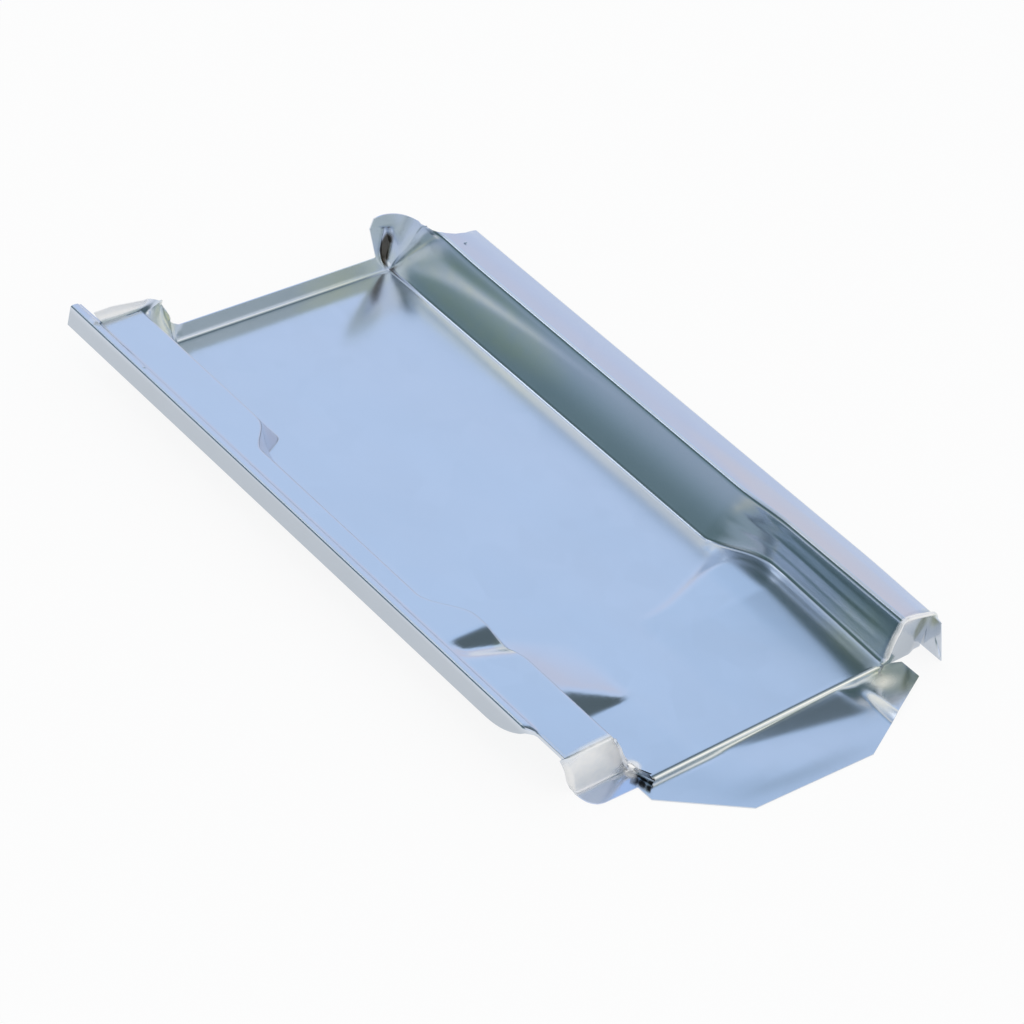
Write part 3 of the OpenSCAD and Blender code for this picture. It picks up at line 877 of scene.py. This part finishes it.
# Painted shade: near-black in the open crease at the head corner
paintedCreaseShade = {"colour": (0.10, 0.08, 0.05), "share": (0.9, 0.1), "noise": 90, "roughness": 0.1, "places": [
    ((166.5, 424.5, 13), (2.8, 4.5, 15))]}
# Painted highlight: matte white on the box end, the lip and the rims, standing in for their reflection of the
# pale floor
paintedWhiteHighlight = {"colour": (0.95, 0.94, 0.92), "share": (0.6, 0.5), "noise": 260, "roughness": 0.12, "matte": 0.85,
        "places": [((-31, 17.5, 11), (27, 3.4, 18)), ((-11, 14.4, 12), (9, 1.7, 15)),
                   ((-40, 430, 33.5), (20, 5, 4.6)), ((-1, 13, -2), (4, 4, 5)),
                   ((190.5, 0, 16), (2.6, 2.6, 17)), ((207, 0, 29), (17, 2.2, 5))]}
# Painted highlight: a cream-white glare at the apron's right corner
paintedGlare = {"colour": (0.96, 0.94, 0.84), "share": (0.65, 0.2), "noise": 30, "roughness": 0.1, "matte": 0.8,
          "edge": (1.75, 0.05),
          "places": [((181.5, -8, -3.5), (9, 5.5, 5)), ((166, -20, -3.5), (3.2, 10, 5))]}


def mixColours(nt, a, b, factor):
    m = nt.nodes.new("ShaderNodeMix")
    m.data_type = "RGBA"
    nt.links.new(factor, m.inputs["Factor"])
    for socket, colour in ((m.inputs[6], a), (m.inputs[7], b)):
        if isinstance(colour, tuple):
            socket.default_value = (*colour, 1)
        else:
            nt.links.new(colour, socket)
    return m.outputs[2]


def smoothStep(nt, value, low, high):
    n = nt.nodes.new("ShaderNodeMapRange")
    n.interpolation_type = "SMOOTHSTEP"
    n.inputs["From Min"].default_value = low
    n.inputs["From Max"].default_value = high
    nt.links.new(value, n.inputs["Value"])
    return n.outputs["Result"]


def galvanised():
    mat = bpy.data.materials.new("galvanisedSteel")
    mat.use_nodes = True
    nt = mat.node_tree
    bsdf = nt.nodes["Principled BSDF"]
    node, join, calc = nodeMaker(nt)
    place = node("ShaderNodeTexCoord").outputs["Object"]

    def noise(scale, detail=3, stretch=None):
        n = node("ShaderNodeTexNoise")
        n.inputs["Scale"].default_value = scale
        n.inputs["Detail"].default_value = detail
        where = place
        if stretch:
            mapping = node("ShaderNodeMapping")
            mapping.inputs["Scale"].default_value = stretch
            join(place, mapping.inputs["Vector"])
            where = mapping.outputs[0]
        join(where, n.inputs["Vector"])
        return n.outputs["Fac"]

    flakes = node("ShaderNodeTexVoronoi")
    flakes.inputs["Scale"].default_value = zinc["spangle"]
    join(place, flakes.inputs["Vector"])
    flake = node("ShaderNodeSeparateColor")
    join(flakes.outputs["Color"], flake.inputs[0])
    cloud = noise(zinc["cloud"])
    mottle = calc("ADD", calc("MULTIPLY", cloud, 0.7), calc("MULTIPLY", flake.outputs[0], 0.3))
    colour = mixColours(nt, zinc["base"], zinc["shade"], mottle)

    def patches(places, outer=1.5, inner=0.8):
        found = None
        for centre, half in places:
            at = node("ShaderNodeVectorMath", operation="SUBTRACT")
            join(place, at.inputs[0])
            at.inputs[1].default_value = [(c - m) / 1000 for c, m in zip(centre, middle)]
            size = node("ShaderNodeVectorMath", operation="DIVIDE")
            join(at.outputs[0], size.inputs[0])
            size.inputs[1].default_value = [h / 1000 for h in half]
            reach = node("ShaderNodeVectorMath", operation="LENGTH")
            join(size.outputs[0], reach.inputs[0])
            covered = smoothStep(nt, reach.outputs["Value"], outer, inner)
            found = covered if found is None else calc("MAXIMUM", found, covered)
        return found

    drift = calc("MULTIPLY", calc("SUBTRACT", noise(zinc["drift"], 4), 0.5), 2 * zinc["roughnessDrift"])
    rough = calc("ADD", calc("ADD", drift, zinc["roughness"]), calc("MULTIPLY", flake.outputs[1], 0.02))
    metallic = 1.0
    for coat in (paintedOliveReflection, paintedGreyShade, shade, warm, paintedBlueReflection, paintedCreaseShade, paintedNoseHighlight, paintedSlotShadow, paintedWhiteHighlight, paintedGlare):
        least, more = coat["share"]
        mottling = calc("ADD", calc("MULTIPLY", noise(coat["noise"], 4), more), least)
        here = calc("MULTIPLY", patches(coat["places"], *coat.get("edge", ())), mottling)
        colour = mixColours(nt, colour, coat["colour"], here)
        rough = calc("ADD", rough, calc("MULTIPLY", here, coat["roughness"]))
        if "matte" in coat:
            metallic = calc("SUBTRACT", metallic, calc("MULTIPLY", here, coat["matte"]))
    join(colour, bsdf.inputs["Base Color"])
    join(rough, bsdf.inputs["Roughness"])
    join(metallic, bsdf.inputs["Metallic"])

    drawn = node("ShaderNodeBump")
    drawn.inputs["Strength"].default_value = zinc["drawnStrength"]
    drawn.inputs["Distance"].default_value = zinc["drawnHeight"] / 1000
    join(noise(zinc["drawn"], 2, zinc["drawnStretch"]), drawn.inputs["Height"])
    grain = node("ShaderNodeBump")
    grain.inputs["Strength"].default_value = zinc["grainStrength"]
    grain.inputs["Distance"].default_value = zinc["grainHeight"] / 1000
    join(noise(zinc["grain"], 2), grain.inputs["Height"])
    join(drawn.outputs[0], grain.inputs["Normal"])
    join(grain.outputs[0], bsdf.inputs["Normal"])
    return mat


metal = galvanised()
pressed = makeObject("pressed", work.points, work.faces)
weld(pressed)
giveThickness(pressed)

# Rolled edges at the rib's foot and at the box end's right side
rolled = {"ribRadius": 1.3, "boxRadius": 1.0,
          "rib": [(186, 1.0, 0.3), (190.4, 0.4, 3.6), (190.0, 0.2, 13.8), (190.6, 0.1, 19.1),
                  (191.9, 0.1, 24), (192.3, 0.1, 30.0), (195.6, 0.1, 31.4), (207, 0.1, 28.8),
                  (217.5, 0.1, 26.0), (221.5, 0.1, 24.4), (224.4, 0, 21.4), (225.9, -0.5, 17),
                  (226.4, -4, 8), (226.6, -10.5, -3.8)],
          "box": [(-21.6, 15.4, 28), (-20.6, 15.2, 26), (-14.6, 14.9, 17.5), (-8.4, 14.5, 6),
                  (-4.4, 14.0, 0.2), (-2.2, 13, -2.0), (-0.4, 11.6, -2.4)]}
trim = Patchwork()
trim.addGrid(tube(rolled["rib"], rolled["ribRadius"], sides=8, count=90))
trim.addGrid(tube(rolled["box"], rolled["boxRadius"], count=60))
rims = makeObject("rims", trim.points, trim.faces)
weld(rims, outwards=True)

print("folding the nose and setting the punch marks")
inMillimetres = [foldedHem(metal), punchMarks(metal)]
for ob in inMillimetres:
    co = np.zeros(len(ob.data.vertices) * 3)
    ob.data.vertices.foreach_get("co", co)
    ob.data.vertices.foreach_set("co", ((co.reshape(-1, 3) - middle) / 1000).ravel())
made = [pressed, rims, *inMillimetres]
bm = bmesh.new()
for ob in made:
    bm.from_mesh(ob.data)
joined = bpy.data.meshes.new("roofingSheet")
bm.to_mesh(joined)
bm.free()
for ob in made:
    bpy.data.objects.remove(ob)
pressedSheet = addObject("roofingSheet", joined)
pressedSheet.data.shade_smooth()
pressedSheet.data.set_sharp_from_angle(angle=math.radians(steel["sharpAngle"]))
pressedSheet.data.materials.clear()
pressedSheet.data.materials.append(metal)
print("triangles", sum(len(p.vertices) - 2 for p in joined.polygons))
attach(pressedSheet, "root")
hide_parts("roofing_sheet")


ground = {"half": 6, "colour": 0.88, "roughness": 0.9, "white": 0.88, "inMirrors": 0.6}


def stageFloor():
    mesh = bpy.data.meshes.new("floor")
    h = ground["half"]
    mesh.from_pydata([(-h, -h, 0), (h, -h, 0), (h, h, 0), (-h, h, 0)], [], [(0, 1, 2, 3)])
    mat = bpy.data.materials.new("paleFloor")
    mat.use_nodes = True
    nodes = mat.node_tree.nodes
    node, join, calc = nodeMaker(mat.node_tree)
    bsdf = nodes["Principled BSDF"]
    bsdf.inputs["Base Color"].default_value = (*[ground["colour"]] * 3, 1)
    bsdf.inputs["Roughness"].default_value = ground["roughness"]
    bsdf.inputs["Specular IOR Level"].default_value = 0
    glow = node("ShaderNodeEmission")
    path = node("ShaderNodeLightPath").outputs
    mirrored = calc("MULTIPLY", path["Is Glossy Ray"], ground["inMirrors"])
    seen = calc("ADD", calc("ADD", mirrored, path["Is Camera Ray"]), path["Is Transmission Ray"])
    blend = node("ShaderNodeMixShader")
    join(calc("MULTIPLY", seen, ground["white"]), blend.inputs[0])
    join(bsdf.outputs[0], blend.inputs[1])
    join(glow.outputs[0], blend.inputs[2])
    join(blend.outputs[0], nodes["Material Output"].inputs["Surface"])
    mesh.materials.append(mat)
    addObject("floor", mesh)


def direction(azimuth, elevation):
    a, e = math.radians(azimuth), math.radians(elevation)
    return Vector((math.sin(a) * math.cos(e), math.cos(a) * math.cos(e), math.sin(e)))


# Colours seen in the metal: the room from the floor up to overhead, the sky in the same steps
# behind one wide window, and soft screens as azimuth, elevation, half angle, soft edge, colour.
studio = {
    "room": [(0.0, (0.80, 0.80, 0.84)), (0.09, (0.48, 0.55, 0.66)), (0.18, (0.35, 0.43, 0.55)),
             (0.30, (0.23, 0.32, 0.38)), (0.42, (0.13, 0.20, 0.22)), (0.60, (0.08, 0.13, 0.13)),
             (1.0, (0.05, 0.08, 0.08))],
    "sky": [(0.0, (0.63, 0.71, 0.88)), (0.25, (0.62, 0.68, 0.86)), (0.34, (0.70, 0.68, 0.78)),
            (0.43, (0.64, 0.70, 0.87)), (0.52, (0.63, 0.73, 0.94)), (0.62, (0.61, 0.74, 0.96)),
            (0.70, (0.53, 0.71, 0.97)), (0.785, (0.45, 0.62, 0.92)), (0.812, (0.05, 0.09, 0.10))],
    "window": (52, 25, 55, 16),
    "screens": [(0, 62, 20, 8, (0.44, 0.53, 0.67)), (33, 55, 7, 4, (1.0, 0.97, 0.90)),
                (84, 54, 15, 6, (0.09, 0.12, 0.13)), (-170, 32, 44, 14, (0.80, 0.84, 0.93)),
                (-80, 8, 7, 4, (0.58, 0.57, 0.45)), (-98, 3, 20, 7, (0.27, 0.35, 0.40)),
                (140, 14, 20, 7, (1.0, 0.98, 0.94)), (126, 40, 11, 7, (0.39, 0.45, 0.43)),
                (37, 12, 8, 4, (1.0, 0.97, 0.92))],
    "plainLight": 0.85}


def makeWorld():
    world = bpy.data.worlds.new("studio")
    bpy.context.scene.world = world
    world.use_nodes = True
    nt = world.node_tree
    nt.nodes.clear()
    node, join, calc = nodeMaker(nt)
    facing = node("ShaderNodeTexCoord").outputs["Generated"]
    split = node("ShaderNodeSeparateXYZ")
    join(facing, split.inputs[0])

    def opening(azimuth, elevation, halfAngle, soft):
        dot = node("ShaderNodeVectorMath", operation="DOT_PRODUCT")
        join(facing, dot.inputs[0])
        dot.inputs[1].default_value = direction(azimuth, elevation)
        outer, inner = (math.cos(math.radians(a)) for a in (halfAngle + soft, max(0, halfAngle - soft)))
        return smoothStep(nt, dot.outputs["Value"], outer, inner)

    def colourRamp(value, stops):
        n = node("ShaderNodeValToRGB")
        join(value, n.inputs[0])
        steps = n.color_ramp.elements
        while len(steps) > 1:
            steps.remove(steps[-1])
        steps[0].position = stops[0][0]
        steps[0].color = (*stops[0][1], 1)
        for position, colour in stops[1:]:
            steps.new(position).color = (*colour, 1)
        return n.outputs["Color"]

    room, sky = (colourRamp(split.outputs["Z"], studio[k]) for k in ("room", "sky"))
    last = mixColours(nt, room, sky, opening(*studio["window"]))
    for azimuth, elevation, half, soft, colour in studio["screens"]:
        last = mixColours(nt, last, colour, opening(azimuth, elevation, half, soft))
    back = node("ShaderNodeBackground")
    join(last, back.inputs["Color"])
    white = node("ShaderNodeBackground")
    white.inputs["Color"].default_value = (1, 1, 1, 1)
    path = node("ShaderNodeLightPath").outputs
    lit = calc("MULTIPLY", path["Is Diffuse Ray"], studio["plainLight"])
    blend = node("ShaderNodeMixShader")
    join(calc("MAXIMUM", path["Is Camera Ray"], lit), blend.inputs[0])
    join(back.outputs[0], blend.inputs[1])
    join(white.outputs[0], blend.inputs[2])
    join(blend.outputs[0], node("ShaderNodeOutputWorld").inputs["Surface"])


lamp = {"azimuth": -22, "elevation": 57, "angle": 14, "energy": 0.05}


def makeLamp():
    light = bpy.data.lights.new("softLamp", "SUN")
    light.energy = lamp["energy"]
    light.angle = math.radians(lamp["angle"])
    ob = addObject("softLamp", light)
    ob.rotation_euler = direction(lamp["azimuth"], lamp["elevation"]).to_track_quat("Z", "Y").to_euler()


view = {"azimuth": 51.68, "pitch": 38.22, "roll": -15.56, "sensor": 36, "focalWidths": 3435 / 1024,
        "place": (-1.2244, -0.9626, 1.2332)}


def makeCamera():
    data = bpy.data.cameras.new("camera")
    data.sensor_width = view["sensor"]
    data.lens = view["focalWidths"] * view["sensor"]
    ob = addObject("camera", data)
    a, p, r = (math.radians(view[k]) for k in ("azimuth", "pitch", "roll"))
    forward = Vector((math.sin(a) * math.cos(p), math.cos(a) * math.cos(p), -math.sin(p)))
    level = Vector((math.cos(a), -math.sin(a), 0))
    plumb = forward.cross(level)
    right = math.cos(r) * level + math.sin(r) * plumb
    down = -math.sin(r) * level + math.cos(r) * plumb
    turn = Matrix((right, -down, -forward)).transposed()
    ob.matrix_world = Matrix.Translation(Vector(view["place"])) @ turn.to_4x4()
    bpy.context.scene.camera = ob


print("setting the floor, the studio and the camera")
stageFloor()
makeWorld()
makeLamp()
makeCamera()
bpy.context.scene.view_settings.view_transform = "Standard"
